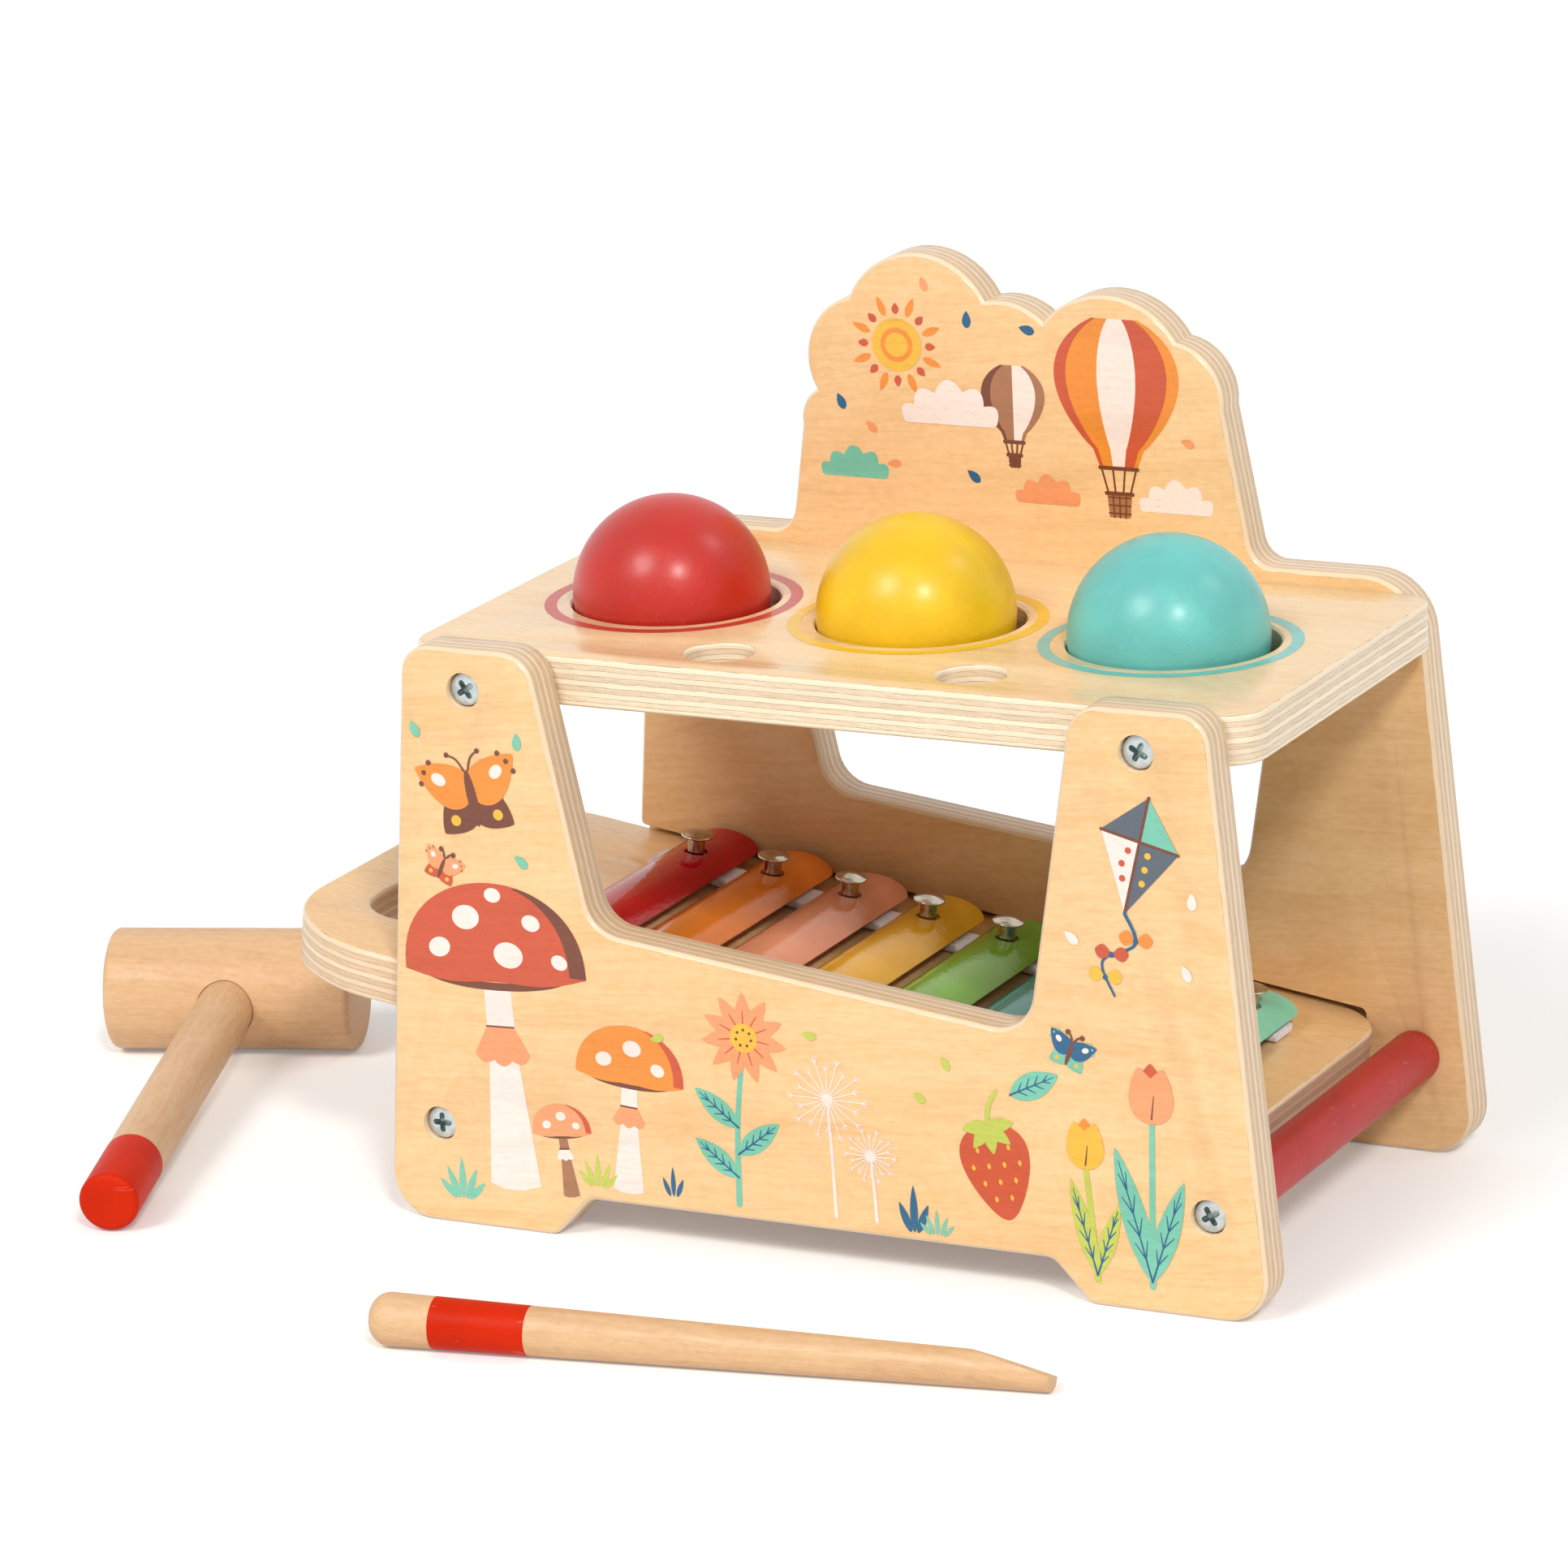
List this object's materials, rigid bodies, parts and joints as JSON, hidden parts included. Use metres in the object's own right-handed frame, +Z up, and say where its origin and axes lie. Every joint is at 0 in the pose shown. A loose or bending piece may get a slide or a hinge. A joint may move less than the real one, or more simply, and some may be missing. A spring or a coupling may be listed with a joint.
{
  "type": "xylophone pounding bench",
  "caption": "Wooden toy bench with balls to pound through its top board onto a slanted pull-out xylophone tray; with mallet and stick.",
  "frame": {"origin": "middle of the whole set's floor plan, at the ground that the bench, the mallet and the stick rest on", "axes": "+X runs along the bench, from the tray's handle end to its low end; +Y runs from the open front panel to the crowned back panel; +Z is up"},
  "size_m": [0.3456, 0.208, 0.2026],
  "materials": {
    "birch_plywood": "satin varnish over printed plywood",
    "board_plywood": "satin varnish over pale plywood",
    "dowel_paint": "satin paint",
    "ball_red": "gloss lacquer",
    "ball_yellow": "gloss lacquer",
    "ball_teal": "gloss lacquer",
    "ring_rubber": "matt",
    "felt": "felt",
    "mallet_beech": "satin varnish",
    "stick_beech": "satin varnish",
    "pin_nickel": "polished",
    "screw_zinc": "zinc plated",
    "bar_dark_red": "gloss enamel",
    "bar_orange": "gloss enamel",
    "bar_salmon": "gloss enamel",
    "bar_yellow": "gloss enamel",
    "bar_green": "gloss enamel",
    "bar_teal": "gloss enamel",
    "bar_blue": "gloss enamel",
    "bar_mint": "gloss enamel"
  },
  "bodies": {
    "bench": {"front_panel": "birch_plywood", "back_panel": "birch_plywood", "top_board": "board_plywood", "dowel_left": "dowel_paint", "dowel_right": "dowel_paint", "ball_ring_1": "ring_rubber", "ball_ring_2": "ring_rubber", "ball_ring_3": "ring_rubber", "screw_front_top_left": "screw_zinc", "screw_front_top_right": "screw_zinc", "screw_front_low_left": "screw_zinc", "screw_front_low_right": "screw_zinc", "screw_back_top_left": "screw_zinc", "screw_back_top_right": "screw_zinc", "screw_back_low_left": "screw_zinc", "screw_back_low_right": "screw_zinc"},
    "tray": {"tray": "birch_plywood", "felt_front": "felt", "felt_back": "felt", "pin_1_front": "pin_nickel", "pin_1_back": "pin_nickel", "pin_2_front": "pin_nickel", "pin_2_back": "pin_nickel", "pin_3_front": "pin_nickel", "pin_3_back": "pin_nickel", "pin_4_front": "pin_nickel", "pin_4_back": "pin_nickel", "pin_5_front": "pin_nickel", "pin_5_back": "pin_nickel", "pin_6_front": "pin_nickel", "pin_6_back": "pin_nickel", "pin_7_front": "pin_nickel", "pin_7_back": "pin_nickel", "pin_8_front": "pin_nickel", "pin_8_back": "pin_nickel"},
    "bar_1_dark_red": {"bar_1_dark_red": "bar_dark_red"},
    "bar_2_orange": {"bar_2_orange": "bar_orange"},
    "bar_3_salmon": {"bar_3_salmon": "bar_salmon"},
    "bar_4_yellow": {"bar_4_yellow": "bar_yellow"},
    "bar_5_green": {"bar_5_green": "bar_green"},
    "bar_6_teal": {"bar_6_teal": "bar_teal"},
    "bar_7_blue": {"bar_7_blue": "bar_blue"},
    "bar_8_mint": {"bar_8_mint": "bar_mint"},
    "ball_red": {"ball_red": "ball_red"},
    "ball_yellow": {"ball_yellow": "ball_yellow"},
    "ball_teal": {"ball_teal": "ball_teal"},
    "mallet": {"mallet_head": "mallet_beech", "mallet_handle": "mallet_beech"},
    "stick": {"stick": "stick_beech"}
  },
  "joints": [
    {"name": "tray_slide", "type": "slide", "parent": "bench", "child": "tray", "axis": [-0.9897, 0, 0.143], "range_m": [0, 0.18]},
    {"name": "bar_1_lift", "type": "slide", "parent": "tray", "child": "bar_1_dark_red", "axis": [0.143, 0, 0.9897], "range_m": [0, 0.0032]},
    {"name": "bar_2_lift", "type": "slide", "parent": "tray", "child": "bar_2_orange", "axis": [0.143, 0, 0.9897], "range_m": [0, 0.0032]},
    {"name": "bar_3_lift", "type": "slide", "parent": "tray", "child": "bar_3_salmon", "axis": [0.143, 0, 0.9897], "range_m": [0, 0.0032]},
    {"name": "bar_4_lift", "type": "slide", "parent": "tray", "child": "bar_4_yellow", "axis": [0.143, 0, 0.9897], "range_m": [0, 0.0032]},
    {"name": "bar_5_lift", "type": "slide", "parent": "tray", "child": "bar_5_green", "axis": [0.143, 0, 0.9897], "range_m": [0, 0.0032]},
    {"name": "bar_6_lift", "type": "slide", "parent": "tray", "child": "bar_6_teal", "axis": [0.143, 0, 0.9897], "range_m": [0, 0.0032]},
    {"name": "bar_7_lift", "type": "slide", "parent": "tray", "child": "bar_7_blue", "axis": [0.143, 0, 0.9897], "range_m": [0, 0.0032]},
    {"name": "bar_8_lift", "type": "slide", "parent": "tray", "child": "bar_8_mint", "axis": [0.143, 0, 0.9897], "range_m": [0, 0.0032]},
    {"name": "ball_red_drop", "type": "slide", "parent": "bench", "child": "ball_red", "axis": [0, 0, 1], "range_m": [-0.0515, 0.03], "deforming": ["ball_ring_1"]},
    {"name": "ball_yellow_drop", "type": "slide", "parent": "bench", "child": "ball_yellow", "axis": [0, 0, 1], "range_m": [-0.0604, 0.03], "deforming": ["ball_ring_2"]},
    {"name": "ball_teal_drop", "type": "slide", "parent": "bench", "child": "ball_teal", "axis": [0, 0, 1], "range_m": [-0.0693, 0.03], "deforming": ["ball_ring_3"]},
    {"name": "mallet_lift", "type": "slide", "parent": "bench", "child": "mallet", "axis": [0, 0, 1], "range_m": [0, 0.1]},
    {"name": "stick_lift", "type": "slide", "parent": "bench", "child": "stick", "axis": [0, 0, 1], "range_m": [0, 0.1]}
  ]
}
